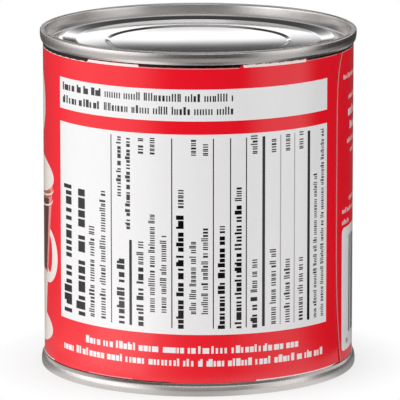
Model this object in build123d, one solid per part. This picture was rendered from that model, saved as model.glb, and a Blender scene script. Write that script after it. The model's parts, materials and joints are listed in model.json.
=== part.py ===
from build123d import *
from math import asin, degrees, tan
import os

# A round three-piece food can: a tinplate body, two seamed-on ends and a paper label wrapped
# once round the body and glued to itself at a lap. The can is shut, so its wall and contents
# are one solid up to the ends. Millimetres, +Z up, origin at the centre of the foot rim.
# The lap's cut edge stands on the +X side of the front, and the front faces -Y.

# Overall sizes
can_height = 82.0            # foot rim to top rim
seam_diameter = 76.0         # over the double seams

# Double seam, the same at both ends
seam_height = 3.10           # rim to the seam's lower edge
seam_thickness = 1.35        # at the rim, from outer face to chuck wall
seam_stand_out = 0.85        # outer face beyond the body wall
rim_outer_round = 0.50       # the rim is rounded on both sides of a narrow flat
rim_inner_round = 0.45
seam_curl_round = 0.45       # where the seam's lower edge turns in to the body

# Pressed end, from the chuck wall inwards; depths are below the rim
sheet = 0.22                 # tinplate thickness
wall_lean = 0.30             # how far the chuck wall leans in down to its foot
countersink_depth = 3.70     # bottom of the groove round the panel
countersink_width = 1.50     # groove floor, between the corners of its two bends
bead_rise_width = 1.20       # sloping outer side of the raised bead
bead_depth = 2.35            # top of the raised bead
bead_width = 1.10            # top of the bead
bead_slope_width = 3.20      # gentle slope from the bead down to the ledge
ledge_depth = 2.85           # outer edge of the ledge
ledge_width = 7.20           # flat ring between bead and inner step
ledge_fall = 0.20            # the ledge falls this much towards the centre
step_width = 0.85            # inner step down to the centre panel
step_fall = 0.30             # drop over the inner step
dish_sag = 0.35              # the centre panel is drawn in this much at its middle
dish_lead = 1.50             # straight run from the step's foot into the dish
groove_round = 0.60          # bend radii of the sheet at its corners, from the groove inwards
bead_round = 0.90
slope_round = 2.40
step_round = 0.45

# Paper label
paper = 0.10                 # paper thickness
label_top_gap = 0.50         # bare body between the top seam and the label
label_foot_gap = 0.20        # bare body between the foot seam and the label
lap_width = 8.0              # overlap where the label is glued to itself
lap_edge_angle = -28.5       # direction of the visible cut edge, from +X towards +Y

# Worked out from the sizes above
seam_radius = seam_diameter / 2
body_radius = seam_radius - seam_stand_out
wall_top_radius = seam_radius - seam_thickness
label_radius = body_radius + paper
label_low = seam_height + label_foot_gap
label_high = can_height - seam_height - label_top_gap


def wall_radius(depth):
    """Radius of the chuck wall's bare face at a depth below the rim."""
    return wall_top_radius - wall_lean * depth / countersink_depth


def seam_corners():
    """Corners of the folded seam's section, from the foot of its inner side round to the rim."""
    return [
        (wall_radius(seam_height), -seam_height),
        (seam_radius, -seam_height),
        (seam_radius, 0),
        (wall_top_radius, 0),
    ]


def seam_section():
    """The folded seam as one ring section, rim at height 0."""
    _, curl, outer_rim, inner_rim = seam_corners()
    section = make_face(Polyline(*seam_corners(), close=True))
    rounds = [(curl, seam_curl_round), (outer_rim, rim_outer_round), (inner_rim, rim_inner_round)]
    for corner, bend in rounds:
        section = fillet(section.vertices().sort_by_distance(corner)[0], bend)
    return section


def panel_corners():
    """Corners of the end's bare face from the countersink to the dish, each with its bend radius."""
    radius = wall_radius(countersink_depth)
    corners = [(radius, countersink_depth, groove_round)]
    profile = [
        (countersink_width, countersink_depth, groove_round),
        (bead_rise_width, bead_depth, bead_round),
        (bead_width, bead_depth, bead_round),
        (bead_slope_width, ledge_depth, slope_round),
        (ledge_width, ledge_depth + ledge_fall, step_round),
        (step_width, ledge_depth + ledge_fall + step_fall, step_round),
    ]
    for width, depth, bend in profile:
        radius = radius - width
        corners.append((radius, depth, bend))
    return corners


def panel_path():
    """The bare face of the end, from half-way down the seam to the centre."""
    corners = panel_corners()
    step_radius, step_depth, _ = corners[-1]
    dish_edge = step_radius - dish_lead
    dish_radius = (dish_edge ** 2 + dish_sag ** 2) / (2 * dish_sag)
    dish_depth = step_depth + dish_lead * tan(asin(dish_edge / dish_radius))
    start = (wall_radius(seam_height / 2), -seam_height / 2)
    points = [start] + [(radius, -depth) for radius, depth, _ in corners] + [(dish_edge, -dish_depth)]
    pressed = FilletPolyline(*points, radius=[bend for _, _, bend in corners])
    dish_centre = dish_radius - dish_sag - dish_depth
    middle = dish_edge / 2
    rise = (dish_radius ** 2 - middle ** 2) ** 0.5
    dish = ThreePointArc(
        (dish_edge, -dish_depth), (middle, dish_centre - rise), (0, -dish_depth - dish_sag)
    )
    return pressed, dish


def half_turn_up(section):
    """Stand a flat section up on the XZ plane and spin it into a solid."""
    return revolve(Plane.XZ * section, Axis.Z)


def end_sheet():
    """One end, rim at height 0 and panel below it."""
    pressed, dish = panel_path()
    bare_face = Wire(pressed.edges() + dish.edges())
    strip = make_face(offset(bare_face, sheet, side=Side.LEFT))
    return half_turn_up(seam_section() + strip)


def end_recess():
    """The space that an end and the air in its recess take from a plain cylinder."""
    pressed, dish = panel_path()
    cover = Polyline(dish @ 1, (0, 0), (wall_top_radius, 0), pressed @ 0)
    air = make_face(pressed.edges() + dish.edges() + cover.edges())
    return half_turn_up(air + make_face(Polyline(*seam_corners(), close=True)))


def placed_ends(shape):
    """The same shape at the top rim and, turned over, at the foot rim."""
    return Pos(0, 0, can_height) * shape, Rot(180, 0, 0) * shape


def body_core(top_end, foot_end):
    """Body wall and contents as one solid, meeting both ends face to face."""
    core = Pos(0, 0, can_height / 2) * Cylinder(body_radius, can_height)
    for recess in placed_ends(end_recess()):
        core = core - recess
    return core - top_end - foot_end


def paper_label():
    """One turn of paper, two layers thick over the lap."""
    height = label_high - label_low
    layer = Pos(body_radius + paper / 2, label_low + height / 2) * Rectangle(paper, height)
    turn = half_turn_up(layer)
    lap_angle = degrees(lap_width / label_radius)
    upper_layer = revolve(Plane.XZ * (Pos(paper, 0) * layer), Axis.Z, lap_angle)
    return turn + Rot(0, 0, lap_edge_angle) * upper_layer


def build_can():
    top_end, foot_end = placed_ends(end_sheet())
    return {
        "body_and_contents": body_core(top_end, foot_end),
        "top_end": top_end,
        "foot_end": foot_end,
        "paper_label": paper_label(),
    }


os.makedirs("parts", exist_ok=True)
for node, solid in build_can().items():
    export_step(solid, f"parts/{node}.step")
    print(node, len(solid.solids()), round(solid.volume, 2), solid.is_valid)
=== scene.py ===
import json
import math
import random

import bpy
from mathutils import Matrix, Vector
from mathutils.geometry import delaunay_2d_cdt

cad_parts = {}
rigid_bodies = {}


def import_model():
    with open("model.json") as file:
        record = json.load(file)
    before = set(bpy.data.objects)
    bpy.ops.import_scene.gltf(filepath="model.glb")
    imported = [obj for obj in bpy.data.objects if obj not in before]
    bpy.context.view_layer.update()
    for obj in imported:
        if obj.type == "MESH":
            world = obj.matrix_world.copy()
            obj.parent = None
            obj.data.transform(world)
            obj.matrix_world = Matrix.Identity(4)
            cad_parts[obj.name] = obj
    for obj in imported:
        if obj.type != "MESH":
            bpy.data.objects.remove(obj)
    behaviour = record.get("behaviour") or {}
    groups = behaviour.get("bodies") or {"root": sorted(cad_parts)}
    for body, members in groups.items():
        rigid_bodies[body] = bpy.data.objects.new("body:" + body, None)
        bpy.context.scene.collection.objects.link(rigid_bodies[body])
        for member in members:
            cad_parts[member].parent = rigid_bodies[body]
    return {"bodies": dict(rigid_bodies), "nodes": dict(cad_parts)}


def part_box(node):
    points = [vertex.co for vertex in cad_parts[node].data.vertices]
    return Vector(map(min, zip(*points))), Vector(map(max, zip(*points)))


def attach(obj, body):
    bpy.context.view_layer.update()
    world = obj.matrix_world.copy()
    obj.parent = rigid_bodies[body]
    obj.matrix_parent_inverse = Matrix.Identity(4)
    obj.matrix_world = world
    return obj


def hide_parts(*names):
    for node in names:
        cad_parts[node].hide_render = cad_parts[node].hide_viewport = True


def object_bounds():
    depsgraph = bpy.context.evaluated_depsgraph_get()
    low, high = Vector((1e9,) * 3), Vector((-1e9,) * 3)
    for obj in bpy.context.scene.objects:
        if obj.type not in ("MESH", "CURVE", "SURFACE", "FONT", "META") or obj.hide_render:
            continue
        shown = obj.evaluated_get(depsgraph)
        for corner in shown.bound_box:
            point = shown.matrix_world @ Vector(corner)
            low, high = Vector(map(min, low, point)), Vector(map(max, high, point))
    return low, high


# A shut condensed milk can with seamed-on ends and a lapped paper label. The front faces -Y.

MM = 0.001
DEGREES = math.degrees(1)               # in one radian

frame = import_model()
cad_low, cad_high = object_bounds()
root = next(iter(frame["bodies"]))

# The can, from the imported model
can_height = cad_high.z
seam_radius = cad_high.x
body_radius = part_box("body_and_contents")[1].x
label_low, label_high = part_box("paper_label")


# ---------------------------------------------------------------- camera

view_distance = 1130 * MM
view_elevation = math.radians(11.27)
view_lens = 421.3
aim = Vector((0.42 * MM, 0, 39.68 * MM))


def make_camera():
    """A long lens, looking down a little at the front of the can."""
    lens = bpy.data.cameras.new("camera")
    lens.lens = view_lens
    lens.clip_start = 0.01
    lens.clip_end = 100
    camera = bpy.data.objects.new("camera", lens)
    bpy.context.scene.collection.objects.link(camera)
    back = Vector((0, -math.cos(view_elevation), math.sin(view_elevation)))
    turn = (-back).to_track_quat("-Z", "Y").to_matrix().to_4x4()
    camera.matrix_world = Matrix.Translation(aim + back * view_distance) @ turn
    bpy.context.scene.camera = camera


make_camera()


# ---------------------------------------------------------------- shader kit


class Value:
    """A node's output. Arithmetic on it adds Math nodes."""

    def __init__(self, tree, socket):
        self.tree = tree
        self.socket = socket

    def maths(self, operation, *values, clamp=False):
        """A Math node's result."""
        made = self.tree.nodes.new("ShaderNodeMath")
        made.operation = operation
        made.use_clamp = clamp
        for socket, value in zip(made.inputs, values):
            plug(self.tree, socket, value)
        return Value(self.tree, made.outputs[0])

    def __add__(self, other):
        return self.maths("ADD", self, other)

    def __radd__(self, other):
        return self.maths("ADD", other, self)

    def __sub__(self, other):
        return self.maths("SUBTRACT", self, other)

    def __rsub__(self, other):
        return self.maths("SUBTRACT", other, self)

    def __mul__(self, other):
        return self.maths("MULTIPLY", self, other)

    def __rmul__(self, other):
        return self.maths("MULTIPLY", other, self)

    def __truediv__(self, other):
        return self.maths("DIVIDE", self, other)

    def held(self):
        """The value kept between 0 and 1."""
        return self.maths("ADD", self, 0.0, clamp=True)


def plug(tree, socket, value):
    """Set a socket to a number, a colour or another node's output."""
    if isinstance(value, Value):
        tree.links.new(value.socket, socket)
    else:
        socket.default_value = value


class Finish:
    """The node tree of a material or of the world, built up by calls."""

    def __init__(self, owner):
        owner.use_nodes = True
        self.owner = owner
        self.tree = owner.node_tree
        self.tree.nodes.clear()

    def add(self, kind, settings=None, sockets=None, out=0):
        """A node of one kind: its settings first, then its sockets. Gives one of its outputs."""
        made = self.tree.nodes.new(kind)
        for name, value in (settings or {}).items():
            if name == "stops":
                set_stops(made.color_ramp, value)
            else:
                setattr(made, name, value)
        for name, value in (sockets or {}).items():
            plug(self.tree, made.inputs[name], value)
        return Value(self.tree, made.outputs[out])

    def ramp(self, value, stops):
        """A smooth or stepped change of shade along a value."""
        return self.add("ShaderNodeValToRGB", {"stops": stops}, {"Fac": value})

    def ray(self, kind):
        """1 for one kind of light path, and 0 for the others."""
        return self.add("ShaderNodeLightPath", out=kind)

    def axes(self, where):
        """The three parts of a place or direction."""
        return [self.add("ShaderNodeSeparateXYZ", {}, {0: where}, out=axis) for axis in "XYZ"]

    def around(self, x, y):
        """The direction round the can in degrees: 0 is the front and 90 the right."""
        return x.maths("ARCTAN2", x, 0.0 - y) * DEGREES

    def by_angle(self, angle, stops, span):
        """A shade by an angle in degrees, which runs over a span with 0 in its middle."""
        return self.ramp(angle / span + 0.5, [(stop / span + 0.5, shade) for stop, shade in stops])

    def noise(self, where, scale, detail, rough=0.5):
        """Cloudy variation round 0.5."""
        sockets = {"Vector": where, "Scale": scale, "Detail": detail, "Roughness": rough}
        return self.add("ShaderNodeTexNoise", {}, sockets)

    def stretched(self, where, scale):
        """The place, with each axis scaled."""
        sockets = {"Vector": where, "Scale": scale}
        return self.add("ShaderNodeMapping", {"vector_type": "POINT"}, sockets)

    def tint(self, amount, low, high):
        """A colour between two colours."""
        return self.add("ShaderNodeMix", {"data_type": "RGBA"}, {0: amount, 6: low, 7: high}, out=2)

    def bump(self, height, strength, distance):
        """The normal of a slightly uneven surface."""
        sockets = {"Height": height, "Strength": strength, "Distance": distance}
        return self.add("ShaderNodeBump", {}, sockets)

    def finish(self, surface):
        """Join the last shader to the output, and give the material or the world."""
        kind = "World" if isinstance(self.owner, bpy.types.World) else "Material"
        output = self.tree.nodes.new("ShaderNodeOutput" + kind)
        plug(self.tree, output.inputs["Surface"], surface)
        return self.owner


def set_stops(ramp, stops):
    """Give a ramp its stops, as (place, shade) pairs."""
    while len(ramp.elements) > 1:
        ramp.elements.remove(ramp.elements[-1])
    for index, (place, shade) in enumerate(stops):
        stop = ramp.elements[0] if index == 0 else ramp.elements.new(place)
        stop.position = place
        stop.color = (shade, shade, shade, 1)


def rgb(red, green, blue):
    """A colour as it looks, given in 0 to 255, in the scene's linear values."""
    return tuple(linear(shade / 255) for shade in (red, green, blue)) + (1.0,)


def darkened(colour, part):
    """A colour with only a part of its brightness."""
    return tuple(part * shade for shade in colour[:3]) + (1.0,)


def linear(shade):
    """One shade of 0 to 1 as it looks, in the scene's linear values."""
    return shade / 12.92 if shade <= 0.04045 else ((shade + 0.055) / 1.055) ** 2.4


# ---------------------------------------------------------------- finishes


grain_scale = (160, 5000, 5000)         # rolling grain, drawn out along one axis
scratch_scale = (2600, 180, 2600)       # scratches across it
patch_scale = 110.0                     # dull patches a few millimetres wide


def tinplate(name, colour, roughness, wear):
    """Bright rolled tinplate: fine straight grain, a few dull patches and small scratches."""
    steel = Finish(bpy.data.materials.new(name))
    place = steel.add("ShaderNodeTexCoord", out="Object")
    grain = steel.noise(steel.stretched(place, grain_scale), 1.0, 4.0)
    patches = steel.noise(place, patch_scale, 4.0)
    scratches = steel.noise(steel.stretched(place, scratch_scale), 1.0, 2.0)
    dull = (grain - 0.5) * (0.5 * wear) + (patches - 0.45) * (0.6 * wear)
    height = grain * 0.4 + scratches * 0.6
    shader = steel.add(
        "ShaderNodeBsdfPrincipled",
        {},
        {
            "Base Color": steel.tint((patches - 0.3).held(), colour, darkened(colour, 0.88)),
            "Metallic": 1.0,
            "Roughness": (dull + roughness).held(),
            "Normal": steel.bump(height, 0.4 * wear, 0.01 * MM),
        },
    )
    return steel.finish(shader)


print_roughness = 0.15
print_index = 1.76                      # refractive index of the varnish over the print
mottle_scale, cloud_scale = 900.0, 60.0


def printed(name, colour):
    """Varnished paper with one ink: a little mottling in the ink and unevenness in the gloss."""
    coat = Finish(bpy.data.materials.new(name))
    place = coat.add("ShaderNodeTexCoord", out="Object")
    mottle = coat.noise(place, mottle_scale, 4.0, 0.6)
    cloud = coat.noise(place, cloud_scale, 2.0)
    spread = (mottle * 0.7 + cloud * 0.3 - 0.2).held()
    shader = coat.add(
        "ShaderNodeBsdfPrincipled",
        {},
        {
            "Base Color": coat.tint(spread, colour, darkened(colour, 0.93)),
            "Roughness": (mottle * 0.06 + cloud * 0.08 + (print_roughness - 0.07)).held(),
            "IOR": print_index,
            "Normal": coat.bump(mottle, 0.05, 0.02 * MM),
        },
    )
    return coat.finish(shader)


INKS = {
    "red": rgb(238, 4, 32),
    "white": rgb(236, 235, 236),
    "black": rgb(10, 8, 9),
    "grey": rgb(42, 40, 42),
    "pale_grey": rgb(168, 166, 168),
    "bare_paper": rgb(246, 230, 227),
    # pale pink of worn paper edges, also used as a painted highlight along the lap's cut edge
    "worn_edge": rgb(240, 132, 134),
    "foam": rgb(243, 232, 226),
    "coffee": rgb(96, 42, 30),
    "crema": rgb(176, 104, 62),
    "glass": rgb(236, 150, 146),
    "cream": rgb(240, 224, 208),
}
INK_ORDER = list(INKS)


# ---------------------------------------------------------------- label print

# Places on the label are (along, up) in millimetres: along runs round the can to the right from
# the middle of the front, and up is the height above the foot rim.
paper = 0.10
print_radius = body_radius / MM + paper
turn_length = 2 * math.pi * print_radius
lap_edge = math.radians(61.5) * print_radius    # the visible cut edge, from the front's middle
lap_width = 8.0
sheet_low = label_low.z / MM
sheet_high = label_high.z / MM
sheet_mid = (sheet_low + sheet_high) / 2
sheet_length = turn_length + lap_width

panel_left, panel_right = -39.8, 35.5
list_low, list_high = 65.7, 73.2                # upper white panel
table_low, table_high = 14.8, 62.55             # large white panel
table_foot = 16.3                               # where the table's lines start
table_head = 61.6                               # and where its rules end
oval_steps, corner_steps = 40, 6


class Sheet:
    """The shapes printed on the flat label; a later shape covers an earlier one."""

    def __init__(self):
        self.shapes = []
        self.dice = random.Random(7)

    def shape(self, ink, points):
        """A shape given by its corners on the can."""
        self.shapes.append((ink, [on_sheet(*point) for point in points]))

    def strip(self, ink, start, end, low, high):
        """A narrow block at the sheet's edge, which may reach past it."""
        first = (start - lap_edge) % turn_length
        last = first + end - start
        self.shapes.append((ink, [(first, low), (last, low), (last, high), (first, high)]))

    def block(self, ink, along_0, along_1, up_0, up_1):
        """An upright rectangle."""
        self.shape(ink, [(along_0, up_0), (along_1, up_0), (along_1, up_1), (along_0, up_1)])

    def oval(self, ink, along, up, half_width, half_height):
        """An oval round its middle."""
        turns = [math.radians(360 * i / oval_steps) for i in range(oval_steps)]
        points = [(along + half_width * math.cos(a), up + half_height * math.sin(a)) for a in turns]
        self.shape(ink, points)

    def rounded(self, ink, along_0, along_1, up_0, up_1, radius):
        """A block with round corners."""
        points = []
        corners = [
            (along_1 - radius, up_0 + radius, 270),
            (along_1 - radius, up_1 - radius, 0),
            (along_0 + radius, up_1 - radius, 90),
            (along_0 + radius, up_0 + radius, 180),
        ]
        for along, up, first in corners:
            for i in range(corner_steps + 1):
                a = math.radians(first + 90 * i / corner_steps)
                points.append((along + radius * math.cos(a), up + radius * math.sin(a)))
        self.shape(ink, points)

    def marks(self, ink, start, end, base, cap, bold=False, upright=False):
        """A line of plain blocks, in groups, as long and as dense as a line of print.

        Level lines run along the can from start to end on a base height. Upright lines run up
        the can, with their base line on the right.
        """
        gap = cap * (0.12 if bold else 0.18)
        place = start
        left_in_group = self.dice.randint(3, 8)
        while place < end - 0.3 * cap:
            width = cap * self.dice.choice((0.16, 0.34, 0.46, 0.52, 0.58)) * (1.0 if bold else 0.9)
            height = cap * self.dice.choice((0.74, 0.74, 0.74, 1.0))
            stroke = cap * (0.30 if bold else 0.18)
            strokes = [(place, place + stroke)]
            if width > 1.6 * stroke:
                strokes.append((place + width - stroke, place + width))
            for first, last in strokes:
                if upright:
                    self.block(ink, base - height, base, first, last)
                else:
                    self.block(ink, first, last, base, base + height)
            place += width + gap
            left_in_group -= 1
            if left_in_group == 0:
                place += cap * 0.35
                left_in_group = self.dice.randint(2, 8)


level_height = 57.0                             # print at this height runs level round the can
print_slant = 0.00018                           # and slants this much more for each mm above it


def on_sheet(along, up):
    """From a place on the can to a place on the flat sheet, measured from its cut edge."""
    slant = print_slant * (up - level_height) * max(-45.0, min(45.0, along))
    return ((along - lap_edge) % turn_length, max(sheet_low, min(sheet_high, up + slant)))


def print_lists(sheet):
    """The upper panel: two level lines, each with a bold start."""
    sheet.block("white", panel_left, panel_right, list_low, list_high)
    for base, cap, bold_end in ((70.3, 1.9, -24.4), (67.2, 1.9, -24.6)):
        sheet.marks("grey", -38.4, bold_end, base, cap, bold=True)
        sheet.marks("grey", bold_end + 1.0, 8.6, base, cap)


# Each line of the table: base line, cap height, start, end of its bold part, end, and whether a
# short group stands at its head
TABLE_LINES = [
    (-34.8, 3.3, 16.5, 48.5, 48.5, False),
    (-29.8, 3.3, 16.5, 49.2, 49.2, False),
    (-26.7, 1.8, 16.3, 16.3, 39.3, False),
    (-23.3, 1.8, 16.3, 16.3, 48.3, False),
    (-18.0, 2.1, 16.4, 33.0, 33.0, False),
    (-13.1, 1.8, 16.3, 30.5, 37.0, True),
    (-10.3, 1.6, 19.3, 19.3, 43.7, True),
    (-7.5, 1.6, 19.3, 19.3, 38.6, False),
    (-3.4, 1.8, 16.2, 44.5, 49.7, False),
    (-0.5, 1.6, 19.2, 19.2, 37.5, True),
    (2.3, 1.6, 19.2, 19.2, 41.6, True),
    (6.3, 1.7, 16.2, 38.5, 41.6, False),
    (10.3, 1.7, 16.2, 46.0, 51.2, False),
    (14.2, 1.7, 16.1, 24.0, 32.4, True),
    (19.1, 1.7, 16.0, 16.0, 34.9, True),
    (23.0, 1.7, 16.0, 16.0, 32.0, True),
    (27.0, 1.7, 16.0, 16.0, 32.0, True),
    (31.7, 1.3, 15.9, 15.9, 52.0, False),
    (34.3, 1.3, 15.9, 15.9, 61.8, False),
]
# Its upright rules: ink, width, places
RULES = [
    ("grey", 0.28, (-21.6, -6.2)),
    ("black", 0.26, (3.55, 7.6, 11.45)),
    ("pale_grey", 0.30, (20.3, 24.3)),
    ("black", 0.74, (15.8,)),
    ("black", 0.86, (28.8,)),
]
head_start = 57.6                               # where those short groups start


def print_table(sheet):
    """The large panel: a table turned a quarter, so that its lines run up the can."""
    sheet.block("white", panel_left, panel_right, table_low, table_high)
    for base, cap, start, bold_end, end, headed in TABLE_LINES:
        if bold_end > start:
            sheet.marks("black", start, bold_end, base, cap, bold=True, upright=True)
        if end > bold_end:
            sheet.marks("grey", bold_end + 0.6, end, base, cap, upright=True)
        if headed:
            sheet.marks("grey", head_start, table_head, base, cap, upright=True)
    for base, start in ((-18.9, 47.0), (-16.5, 39.3)):
        sheet.marks("grey", start, table_head, base, 1.3, bold=True, upright=True)
    for ink, width, places in RULES:
        for along in places:
            sheet.block(ink, along - width / 2, along + width / 2, table_foot, table_head)
    sheet.block("black", -16.75, -16.05, table_foot, 36.8)


def print_notes(sheet):
    """Two level white lines under the table."""
    sheet.marks("white", -29.6, 25.2, 10.3, 1.8, bold=True)
    sheet.marks("white", -38.4, 34.0, 7.2, 1.8, bold=True)


# White lines beside the lap: base, cap height, start, end, bold
SIDE_LINES = [
    (71.5, 1.2, 43.7, 74.3, False),
    (66.3, 1.2, 47.5, 70.5, False),
    (62.3, 2.2, 47.3, 70.7, True),
    (58.9, 2.0, 49.0, 69.0, True),
    (55.8, 1.3, 46.6, 71.4, False),
    (53.2, 1.2, 50.0, 68.0, False),
    (41.8, 1.3, 48.5, 69.5, False),
    (39.3, 1.2, 43.3, 74.7, False),
    (36.6, 1.2, 43.3, 48.2, False),
]


def print_side(sheet):
    """Beside the lap: white lines over a white field of plain bars."""
    for base, cap, start, end, bold in SIDE_LINES:
        sheet.marks("white", start, end, base, cap, bold=bold)
    sheet.rounded("white", 43.2, 75.0, 5.9, 35.8, 1.4)
    place = 48.6
    while place < 70.5:
        width = sheet.dice.choice((0.33, 0.33, 0.66, 0.99, 1.32))
        sheet.block("black", place, place + width, 9.8, 33.4)
        place += width + sheet.dice.choice((0.33, 0.33, 0.66, 0.99))
    for start in (46.4, 71.6):
        sheet.marks("grey", start, start + 1.8, 7.4, 1.6)


def tapered(sheet, ink, middle, low, high, half_low, half_high):
    """A level band that widens upwards."""
    left_low, right_low = (middle - half_low, low), (middle + half_low, low)
    left_high, right_high = (middle - half_high, high), (middle + half_high, high)
    sheet.shape(ink, [left_low, right_low, right_high, left_high])


def print_cup(sheet, middle):
    """A plain tall glass of coffee with foam, a handle and a saucer."""
    sheet.oval("foam", middle, 10.0, 17.0, 4.6)             # saucer
    sheet.oval("foam", middle + 13.3, 28.2, 7.0, 6.9)       # handle
    sheet.oval("red", middle + 14.6, 28.6, 2.2, 4.6)
    tapered(sheet, "cream", middle, 12.5, 24, 11, 13)
    tapered(sheet, "glass", middle, 23.5, 46.5, 13, 17.5)
    tapered(sheet, "coffee", middle, 24, 42, 12, 14.5)
    sheet.oval("crema", middle, 43.5, 16.2, 2.6)
    sheet.oval("foam", middle, 47.4, 18.2, 5.0)
    for up, half_width in ((44.6, 17.9), (42.0, 17.4)):     # two rings round the glass
        turns = [math.radians(a) for a in range(180, 361, 12)]
        lower = [(middle + half_width * math.cos(a), up + 3.0 * math.sin(a)) for a in turns]
        sheet.shape("foam", lower + [(along, height + 0.42) for along, height in reversed(lower)])


def print_name_field(sheet, middle):
    """A bare field with a pale frame, where a name would stand."""
    sheet.rounded("cream", middle - 22, middle + 22, 56.5, 73.0, 7.5)
    sheet.rounded("white", middle - 21, middle + 21, 57.5, 72.0, 6.6)


face_middles = (-73.0, -73.0 - turn_length / 4)
cup_offset = 11.0


# Where the red stops short of the label's edge and pale paper shows: partly bare or worn paper, partly
# a painted highlight on the lit edge. Ink, from, to, depth
UPPER_MARGINS = [
    ("bare_paper", -62.0, -28.7, 0.20),
    ("bare_paper", -28.7, -14.3, 0.62),
    ("worn_edge", -14.3, 9.6, 0.22),
    ("bare_paper", 10.7, 27.7, 0.72),
    ("worn_edge", 27.7, 39.9, 0.16),
    ("worn_edge", 40.4, 52.0, 0.16),
]
LOWER_MARGINS = [
    ("bare_paper", -62.0, -44.0, 0.26),
    ("worn_edge", -28.7, -16.0, 0.26),
    ("bare_paper", 14.0, 39.9, 0.28),
]
lap_highlight_width = 0.32                       # width of the painted highlight along the lap's cut edge
past_edge = 0.1                         # how far the strips reach past the paper
edge_rows = 40
edge_heights = [sheet_low + (sheet_high - sheet_low) * i / edge_rows for i in range(edge_rows + 1)]


def print_margins(sheet):
    """Thin strips on the label's own edges, and a painted highlight along the lap's cut edge."""
    for ink, start, end, depth in UPPER_MARGINS:
        edge = sheet_high - upper_cut((start + end) / 2)
        sheet.strip(ink, start, end, edge - depth, edge)
    for ink, start, end, depth in LOWER_MARGINS:
        edge = sheet_low - lower_cut((start + end) / 2)
        sheet.strip(ink, start, end, edge - past_edge, edge + depth)
    # A pale strip along the lap's cut edge: a painted highlight where the paper edge catches the light
    lap_highlight = [(cut_edge(up) + lap_highlight_width, up) for up in edge_heights]
    lap_highlight += [(cut_edge(up) - past_edge, up) for up in reversed(edge_heights)]
    sheet.shapes.append(("worn_edge", lap_highlight))


# Round the front the label's upper edge is cut uneven: from, to, how far below its full height
UPPER_CUTS = [(-80.0, -28.9, 0.38), (-28.9, -14.5, -0.28), (-14.5, 9.8, 0.20), (9.8, 27.9, -0.38)]


def upper_cut(along):
    """How far below its full height the label is cut at one place."""
    total = 0.0
    for start, end, depth in UPPER_CUTS:
        inside = smooth((along - start) / 0.6) - smooth((along - end) / 0.6)
        total += depth * inside
    return total * (1 + 0.14 * math.sin(along * 2.1) + 0.10 * math.sin(along * 5.3))


lower_reach = 0.17                      # on the right the lower edge hangs this far down
lower_from, lower_to = -8.0, 38.4       # between these places


def lower_cut(along):
    """How far below its usual edge the label reaches at one place."""
    return lower_reach * (smooth((along - lower_from) / 3) - smooth((along - lower_to) / 0.6))


def print_label():
    """Every printed shape, in the order in which they cover each other."""
    sheet = Sheet()
    print_margins(sheet)
    print_lists(sheet)
    print_table(sheet)
    print_notes(sheet)
    print_side(sheet)
    for middle in face_middles:
        print_name_field(sheet, middle)
        print_cup(sheet, middle + cup_offset)
    return sheet.shapes


# ---------------------------------------------------------------- label paper


lap_bow = 2.4                           # the cut edge draws back this far at the label's corners
lap_lift = 0.30                         # and stands off the layer below it
upper_power, lower_power = 9.0, 3.5     # how suddenly it does so near the upper and lower edges
upper_uneven, lower_uneven = (-80.0, 28.8), (-10.0, 39.6)   # where the two edges are uneven
upper_step, lower_step = 0.3, 0.5       # and how far apart their points are


def near_end(up):
    """0 at the label's middle height and 1 at its upper and lower edges."""
    reach = (up - sheet_mid) / (sheet_high - sheet_mid)
    return min(1.0, reach ** upper_power if reach > 0 else (-reach) ** lower_power)


def cut_edge(up):
    """Where the sheet starts at one height."""
    return lap_bow * near_end(up)


def paper_stand(run, up):
    """How far the sheet's inner face stands off the can's wall."""
    over = 1 - smooth((run - lap_width) / 2.5)
    lift = lap_lift * near_end(up) * math.exp(-max(0.0, run) / 3.0)
    ripple = 0.015 * (1 + math.sin(run * 0.31 + up * 0.05)) * near_end(up)
    return (paper + 0.01) * over + lift + ripple + 0.01


def smooth(x):
    """An even step from 0 to 1."""
    x = max(0.0, min(1.0, x))
    return x * x * (3 - 2 * x)


def wrapped(run, up, layer):
    """A place on the flat sheet, wrapped round the can, in metres."""
    radius = body_radius / MM + paper_stand(run, up) + layer * paper
    angle = (lap_edge + run) / print_radius
    return Vector((radius * math.sin(angle), -radius * math.cos(angle), up)) * MM


grid_heights = (0.4, 1.0, 2.0, 3.5, 6.0)    # fold lines near the edges, where the lap lifts
grid_past_low, grid_past_high = 0.3, 0.5    # upright fold lines reach past the uneven edges
middle_from, middle_step = 10, 5            # level fold lines over the rest of the height


def uneven_edges():
    """The sheet's outline, with its uneven upper and lower edges round the front."""
    outline = [(sheet_length, sheet_low), (sheet_length, sheet_high)]
    along = upper_uneven[1]
    while along > upper_uneven[0]:
        outline.append((along - lap_edge + turn_length, sheet_high - upper_cut(along)))
        along -= upper_step
    outline += [(cut_edge(up), up) for up in reversed(edge_heights)]
    along = lower_uneven[0]
    while along < lower_uneven[1]:
        outline.append((along - lap_edge + turn_length, sheet_low - lower_cut(along)))
        along += lower_step
    return outline


def flat_sheet(shapes):
    """The flat label cut into triangles along every printed edge and a fold grid."""
    points, edges, faces = [], [], []

    def add_face(corners):
        first = len(points)
        points.extend(Vector(corner) for corner in corners)
        faces.append(list(range(first, len(points))))

    def add_edge(a, b):
        points.extend((Vector(a), Vector(b)))
        edges.append((len(points) - 2, len(points) - 1))

    add_face(uneven_edges())
    for _, corners in shapes:
        add_face(corners)
    columns = int(sheet_length)
    for i in range(1, columns):
        run = lap_bow + (sheet_length - lap_bow) * i / columns
        add_edge((run, sheet_low - grid_past_low), (run, sheet_high + grid_past_high))
    heights = [sheet_low + h for h in grid_heights] + [sheet_high - h for h in grid_heights]
    rows = int((sheet_high - sheet_low - middle_from - grid_heights[-1]) / middle_step)
    heights += [sheet_low + middle_from + middle_step * i for i in range(rows)]
    for up in heights:
        add_edge((cut_edge(up), up), (sheet_length, up))
    flat, _, cells, _, _, owners = delaunay_2d_cdt(points, edges, faces, 1, 1e-5, True)
    kept = [(cell, max(owner)) for cell, owner in zip(cells, owners) if owner and 0 in owner]
    return flat, kept


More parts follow.
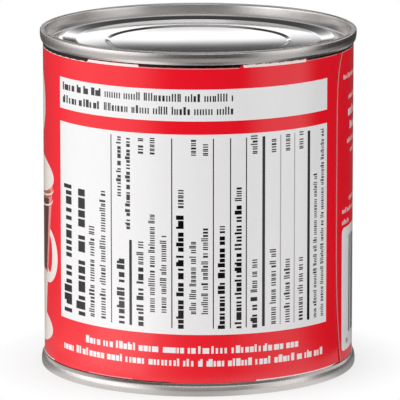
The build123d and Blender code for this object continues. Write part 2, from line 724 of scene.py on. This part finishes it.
def make_label():
    """The paper label: a closed sheet, wrapped once round and lapped on itself."""
    shapes = print_label()
    flat, cells = flat_sheet(shapes)
    inks_of = [INK_ORDER.index("red")] + [INK_ORDER.index(ink) for ink, _ in shapes]
    bare = INK_ORDER.index("bare_paper")
    used = sorted({corner for cell, _ in cells for corner in cell})
    place = {corner: index for index, corner in enumerate(used)}
    count = len(used)
    outer = [wrapped(flat[c].x, flat[c].y, 1) for c in used]
    inner = [wrapped(flat[c].x, flat[c].y, 0) for c in used]
    faces, inks = [], []
    rim = {}
    for cell, top in cells:
        corners = [place[c] for c in cell]
        faces += [corners, [count + c for c in reversed(corners)]]
        inks += [inks_of[top], bare]
        for a, b in zip(corners, corners[1:] + corners[:1]):
            if (b, a) in rim:
                del rim[(b, a)]
            else:
                rim[(a, b)] = True
    faces += [[b, a, count + a, count + b] for a, b in rim]
    inks += [bare] * len(rim)
    mesh = bpy.data.meshes.new("paper_label_sheet")
    mesh.from_pydata(outer + inner, [], faces)
    for ink in INK_ORDER:
        mesh.materials.append(printed("paper_" + ink, INKS[ink]))
    mesh.polygons.foreach_set("material_index", inks)
    mesh.polygons.foreach_set("use_smooth", [True] * len(faces))
    normals = [Vector((point.x, point.y, 0)).normalized() for point in outer]
    normals += [-normal for normal in normals]
    mesh.normals_split_custom_set([normals[corner] for face in faces for corner in face])
    label = bpy.data.objects.new("paper_label_sheet", mesh)
    bpy.context.scene.collection.objects.link(label)
    return label


label = make_label()
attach(label, root)
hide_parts("paper_label")


# ---------------------------------------------------------------- metal ends

# Sizes in millimetres; depths are below the rim
seam_top = seam_radius / MM             # over the double seam
seam_height = 3.10
wall_top_radius = 36.65                 # inside the top of the rim
wall_foot_radius = 36.35                # the chuck wall leans in a little down to its foot
end_sheet = 0.22                        # tinplate thickness
groove_depth = 3.70
bead_depth = 2.35
ledge_depth, ledge_foot_depth = 2.85, 3.05
step_foot_depth = 3.35
dish_lead_fall = 0.05                   # from the step's foot to the dish
dish_radius = 560.0                     # of the sphere that the middle panel is part of
dish_edge = 19.8
dish_rings = 14


def end_corners():
    """The pressed end from the middle outwards: radius, depth, bend radius."""
    wall = body_radius / MM
    return [
        (wall_foot_radius - 15.05, step_foot_depth, 0.45),      # foot of the inner step
        (wall_foot_radius - 14.20, ledge_foot_depth, 0.45),     # top of the inner step
        (wall_foot_radius - 7.00, ledge_depth, 2.40),           # foot of the bead's slope
        (wall_foot_radius - 3.80, bead_depth, 0.90),
        (wall_foot_radius - 2.70, bead_depth, 0.90),
        (wall_foot_radius - 1.50, groove_depth, 0.60),          # groove at the wall
        (wall_foot_radius, groove_depth, 0.60),
        (wall_top_radius, 0.0, 0.45),                           # rim
        (seam_top - 0.07, 0.0, 0.50),
        (seam_top, 1.35, 3.00),                                 # the seam's face is a little full
        (seam_top - 0.20, 2.45, 0.90),
        (seam_top - 0.60, seam_height, 0.30),                   # curl at the seam's lower edge
        (wall, seam_height, 0.10),
        (wall, 1.0, 0.10),
    ]


arc_steps = 8.75                        # points for each radian of a bend
longest_run = 0.5


def rounded_path(corners, start, end):
    """A path through the corners with each bend drawn as an arc."""
    points = [start]
    stops = [start] + [corner[:2] for corner in corners] + [end]
    for i, (radius, depth, bend) in enumerate(corners):
        corner = Vector((radius, depth))
        before, after = Vector(stops[i]) - corner, Vector(stops[i + 2]) - corner
        a, b = before.normalized(), after.normalized()
        half = a.angle(b) / 2
        run = min(bend / math.tan(half), 0.49 * before.length, 0.49 * after.length)
        bend = run * math.tan(half)
        middle = corner + (a + b).normalized() * (bend / math.sin(half))
        first = corner + a * run - middle
        last = corner + b * run - middle
        sweep = math.pi - 2 * half
        turn = -1 if first.x * last.y - first.y * last.x < 0 else 1
        count = max(2, int(arc_steps * sweep) + 1)
        for k in range(count + 1):
            angle = turn * sweep * k / count
            points.append((
                middle.x + first.x * math.cos(angle) - first.y * math.sin(angle),
                middle.y + first.x * math.sin(angle) + first.y * math.cos(angle),
            ))
    points.append(end)
    return divided(points)


def divided(points):
    """The path with more points on its long straight runs, which keeps the shading true."""
    path = points[:1]
    for a, b in zip(points, points[1:]):
        parts = math.ceil((Vector(b) - Vector(a)).length / longest_run)
        path += [tuple(Vector(a).lerp(Vector(b), (k + 1) / parts)) for k in range(parts)]
    return path


def end_profile():
    """The closed outline of the pressed end and its seam, as (radius, depth) points."""
    edge_depth = step_foot_depth + dish_lead_fall
    drop = dish_radius - math.sqrt(dish_radius ** 2 - dish_edge ** 2)
    rings = [i / dish_rings for i in range(dish_rings)]
    dish = [(dish_edge * ring, edge_depth + drop * (1 - ring ** 2)) for ring in rings]
    top = rounded_path(end_corners(), (dish_edge, edge_depth), (wall_top_radius + end_sheet, 1.0))
    # The hidden underside, one sheet thickness below
    under = [
        (wall_foot_radius + end_sheet, groove_depth),
        (wall_foot_radius - 1.6, groove_depth),
        (wall_foot_radius - 2.6, bead_depth),
        (wall_foot_radius - 3.9, bead_depth),
        (wall_foot_radius - 7.0, ledge_depth),
        (wall_foot_radius - 14.2, ledge_foot_depth - 0.08),
        (wall_foot_radius - 15.05, step_foot_depth - 0.08),
        (dish_edge, edge_depth),
        (0.0, edge_depth + drop),
    ]
    return dish + top + [(radius, depth + end_sheet) for radius, depth in under]


lathe_steps = 512


def lathe(name, profile, upside_down):
    """Turn an outline round the can's axis; the first and last points lie on the axis."""
    points, faces = [], []
    height = can_height / MM
    profile = [(radius, depth if upside_down else height - depth) for radius, depth in profile]
    rows = profile[1:-1]
    for i in range(lathe_steps):
        angle = 2 * math.pi * i / lathe_steps
        points += [(radius * math.sin(angle), -radius * math.cos(angle), up) for radius, up in rows]
    count = len(rows)
    first = len(points)
    points += [(0, 0, profile[0][1]), (0, 0, profile[-1][1])]
    for i in range(lathe_steps):
        here, there = i * count, (i + 1) % lathe_steps * count
        for k in range(count - 1):
            faces.append([here + k, here + k + 1, there + k + 1, there + k])
        faces.append([first, here, there])
        faces.append([first + 1, there + count - 1, here + count - 1])
    if not upside_down:
        faces = [list(reversed(face)) for face in faces]
    mesh = bpy.data.meshes.new(name)
    mesh.from_pydata([Vector(p) * MM for p in points], [], faces)
    mesh.polygons.foreach_set("use_smooth", [True] * len(faces))
    made = bpy.data.objects.new(name, mesh)
    bpy.context.scene.collection.objects.link(made)
    return made


# From the middle outwards: the pressed panel, the chuck wall and the double seam
end_finishes = (
    tinplate("tinplate_bright", rgb(226, 225, 226), 0.07, 0.06),
    tinplate("tinplate_chuck_wall", rgb(224, 221, 219), 0.20, 0.08),
    tinplate("tinplate_seam", rgb(221, 215, 212), 0.27, 0.14),
)
chuck_from, seam_from = wall_foot_radius - 0.4, wall_top_radius + 0.2
# The can's wall shows only in the thin gaps next to the seams. Its dark colour is a painted shade
# standing in for the shadow under the seams, with some uneven tone.
wall_painted_shade = tinplate("tinplate_wall_painted_shade", rgb(60, 55, 54), 0.28, 0.60)
for node, upside_down in (("top_end", False), ("foot_end", True)):
    end = lathe(node + "_pressed", end_profile(), upside_down)
    for finish in end_finishes:
        end.data.materials.append(finish)
    for face in end.data.polygons:
        reach = math.hypot(*face.center[:2]) / MM
        face.material_index = (reach > chuck_from) + (reach > seam_from)
    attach(end, root)
    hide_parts(node)
# The body's metal gets the darkened wall tinplate, a painted shade
frame["nodes"]["body_and_contents"].data.materials.clear()
frame["nodes"]["body_and_contents"].data.materials.append(wall_painted_shade)


# ---------------------------------------------------------------- studio


# Painted reflection: how bright the table glows for reflected rays, by direction, next to the can and
# further out. It stands in for the table's light and for the can's shadow on it.
NEAR_TABLE_PAINTED_GLOW = [
    (-180, 0.10), (-110, 0.20), (-80, 0.36), (-66, 0.75), (-52, 0.86), (-22, 0.82), (-10, 0.62),
    (0, 0.56), (10, 0.62), (22, 0.80), (50, 0.84), (58, 0.70), (66, 0.48), (85, 0.34), (110, 0.20),
    (180, 0.10),
]
FAR_TABLE_PAINTED_GLOW = [
    (-180, 0.04), (-120, 0.15), (-100, 0.30), (-88, 0.50), (-76, 0.66), (-66, 1.05), (-58, 1.33),
    (-50, 1.40), (-38, 1.22), (-31, 1.15), (-24, 0.62), (-17, 0.42), (-8, 0.24), (0, 0.17), (18, 0.14),
    (28, 0.33), (38, 0.46), (50, 0.56), (60, 0.54), (68, 0.28), (75, 0.11), (87, 0.03), (180, 0.03),
]
# How bright the studio is low down, by the direction from the can: 0 is the front, 90 the right
LOW_WALLS = [
    (-180, 0.10), (-150, 0.10), (-125, 0.22), (-108, 0.50), (-90, 0.70), (-62, 0.72), (-46, 0.60),
    (-38, 0.42), (-29, 0.16), (-20, 0.03), (-12, 0.01), (34, 0.01), (43, 0.34), (52, 0.60), (82, 0.68),
    (92, 0.22), (99, 0.02), (145, 0.03), (180, 0.10),
]
# How bright it is by height above the horizon, in degrees: behind the can, and in front of it
HIGH_WALLS = [
    (-90, 0.06), (7.6, 0.05), (8.7, 0.13), (9.3, 0.40), (9.9, 0.88), (10.3, 1.0), (12.2, 1.0),
    (13.0, 0.62), (14.5, 0.35), (16.0, 0.19), (18.0, 0.09), (22.0, 0.05), (38.0, 0.03), (50.0, 0.40),
    (90, 0.50),
]
FRONT_WALLS = [
    (-90, 0.0), (-3, 0.0), (1, 0.11), (10, 0.12), (15, 0.85), (28, 0.85), (36, 0.08), (60, 0.06),
    (70, 0.45), (90, 0.50),
]
studio_level = 1.4                      # how bright a shade of 1 in these tables is
fill_level = 0.72                       # the even light from all round
side_level = 0.42                       # the room's upper walls, seen past the backdrop's sides
table_level = 0.36                      # the table far below the horizon
left_lift = 2.1                         # the backdrop's lower edge hangs this much lower on the left
low_walls_rise = 0.30                   # the side walls brighten this much towards the horizon
left_rise, right_rise = 1.70, 0.65      # and this much more just at it, on either side
floor_radius = 0.15
near_reach, near_blend = 0.052, 0.006   # where the near part of the table ends, from the can's axis
shadow_part = 0.30                      # how much of the can's shadow shows next to its foot
shadow_reach, shadow_blend = 0.037, 0.016   # and from where it fades out
floor_sides = 96
floor_shade = (0.74, 0.74, 0.74, 1)
white, black = (1, 1, 1, 1), (0, 0, 0, 1)


def make_floor():
    """A white table top that fades to plain white away from the can. Reflections see no lit table, but
    a glowing painted reflection with painted light and shade, listed by direction.
    """
    mesh = bpy.data.meshes.new("floor")
    turns = [2 * math.pi * i / floor_sides for i in range(floor_sides)]
    rim = [(floor_radius * math.cos(a), floor_radius * math.sin(a), 0) for a in turns]
    mesh.from_pydata(rim, [], [list(range(floor_sides))])
    floor = bpy.data.objects.new("floor", mesh)
    bpy.context.scene.collection.objects.link(floor)
    top = Finish(bpy.data.materials.new("floor_white_painted_reflection"))
    place = top.add("ShaderNodeTexCoord", out="Object")
    reach = top.add("ShaderNodeVectorMath", {"operation": "LENGTH"}, {0: place}, out="Value")
    x, y, _ = top.axes(place)
    azimuth = top.around(x, y)
    near, far = (
        top.by_angle(azimuth, [(stop, shade / studio_level) for stop, shade in stops], 360)
        for stops in (NEAR_TABLE_PAINTED_GLOW, FAR_TABLE_PAINTED_GLOW)
    )
    painted_reflection = top.tint(((reach - near_reach) / near_blend).held(), near, far)
    # Reflected rays see the table black, with the glowing painted reflection in place of its own lit
    # shading
    glossy = top.ray("Is Glossy Ray")
    table = top.add(
        "ShaderNodeBsdfPrincipled",
        {},
        {
            "Base Color": top.tint(glossy, floor_shade, black),
            "Roughness": 1.0,
            "Specular IOR Level": 0.0,
            "Emission Color": top.tint(glossy, black, painted_reflection),
            "Emission Strength": studio_level,
        },
    )
    glow = top.add("ShaderNodeEmission", {}, {"Color": white, "Strength": 1.0})
    seen = top.ray("Is Camera Ray") + top.ray("Is Transmission Ray")
    open_table = ((reach - shadow_reach) / shadow_blend).held() * shadow_part + (1 - shadow_part)
    surface = top.add("ShaderNodeMixShader", {}, {0: (seen * open_table).held(), 1: table, 2: glow})
    mesh.materials.append(top.finish(surface))


def studio_walls(sky):
    """What the can mirrors: side walls low down, and a lit backdrop higher up behind it."""
    way = sky.add("ShaderNodeTexCoord", out="Generated")
    x, y, z = sky.axes(way)
    azimuth = sky.around(x, y)
    elevation = z.maths("ARCSINE", z) * DEGREES
    # The backdrop, and the room past its sides
    lift = (x * -30.0).held() * left_lift
    high = sky.by_angle(elevation + lift, HIGH_WALLS, 180)
    aside = (x.maths("ABSOLUTE", x) * 6.0 - 2.2).held() * ((elevation - 12.0) / 4.0).held()
    high = high.maths("MAXIMUM", high, aside * side_level)
    # The room in front, dimmer to either side
    front = sky.by_angle(elevation, FRONT_WALLS, 180)
    front = front * (1.0 - (x * -5.0 - 1.5).held() * 0.40 - (x * 5.0 - 1.5).held() * 0.12)
    # The side walls, brightest near the horizon, and the table well below it
    low = sky.by_angle(azimuth, LOW_WALLS, 360)
    sides = (x * -3.0).held() * left_rise + (x * 4.0 - 2.6).held() * right_rise
    sides = sides * ((6.8 - elevation) / 4.0).held() + low_walls_rise
    rise = ((elevation + 6.0) / 4.0).held() * sides + (1 - low_walls_rise)
    table = ((-15.0 - elevation) / 10.0).held() * table_level
    low = low.maths("MAXIMUM", low * rise, front.maths("MAXIMUM", front, table))
    # The walls end lower behind the can than in front of it
    behind = y.maths("MAXIMUM", y, 0.0)
    above = ((elevation + behind * 16.0 - 10.0) / 4.0).held()
    return sky.tint(above, low, sky.tint((y * 4.0 + 0.35).held(), front, high))


def make_world():
    """The studio for the metal and the gloss, an even fill, and plain white to the eye."""
    world = bpy.data.worlds.new("studio")
    bpy.context.scene.world = world
    sky = Finish(world)
    walls, fill, plain = (
        sky.add("ShaderNodeBackground", {}, {"Color": colour, "Strength": strength})
        for colour, strength in (
            (studio_walls(sky), studio_level), (white, fill_level), (white, 1.0),
        )
    )
    around = sky.add("ShaderNodeMixShader", {}, {0: sky.ray("Is Diffuse Ray"), 1: walls, 2: fill})
    seen = (sky.ray("Is Camera Ray") + sky.ray("Is Transmission Ray")).held()
    sky.finish(sky.add("ShaderNodeMixShader", {}, {0: seen, 1: around, 2: plain}))


lamp_elevation = 30
lamp_distance = 2.0
lamp_size = 1.6


def soft_box(name, azimuth, power):
    """A square soft light that faces the can. Azimuth 0 is in front, 90 on the right."""
    lamp = bpy.data.lights.new(name, "AREA")
    lamp.size = lamp_size
    lamp.energy = power
    box = bpy.data.objects.new(name, lamp)
    bpy.context.scene.collection.objects.link(box)
    a, e = math.radians(azimuth), math.radians(lamp_elevation)
    back = Vector((math.sin(a) * math.cos(e), -math.cos(a) * math.cos(e), math.sin(e)))
    middle = Vector((0, 0, can_height / 2))
    turn = (-back).to_track_quat("-Z", "Y").to_matrix().to_4x4()
    box.matrix_world = Matrix.Translation(middle + back * lamp_distance) @ turn
    box.visible_glossy = False


make_floor()
make_world()
soft_box("soft_box_left", -64, 25)
soft_box("soft_box_right", 66, 7.5)

bpy.context.scene.view_settings.view_transform = "Standard"
